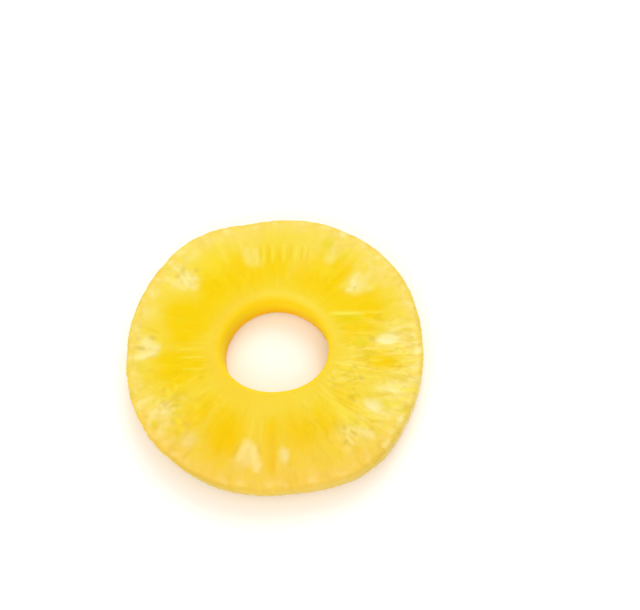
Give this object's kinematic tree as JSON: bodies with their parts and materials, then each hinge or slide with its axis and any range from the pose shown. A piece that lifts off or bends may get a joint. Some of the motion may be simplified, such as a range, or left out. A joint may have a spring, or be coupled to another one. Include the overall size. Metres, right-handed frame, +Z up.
{
  "type": "pineapple ring",
  "caption": "Round slice of peeled and cored pineapple lying flat, with an open hole through its middle and shallow seed eyes in its cut faces.",
  "frame": {"origin": "middle of the slice's outline, on the plane it lies on", "axes": "+Z up through the slice, from the lower cut face to the upper one; -Y towards the viewer of the shown face"},
  "size_m": [0.0798, 0.0794, 0.0088],
  "materials": {
    "flesh": "moist, slightly translucent, fine fibres"
  },
  "bodies": {
    "root": {"pineapple_ring": "flesh"}
  },
  "joints": []
}
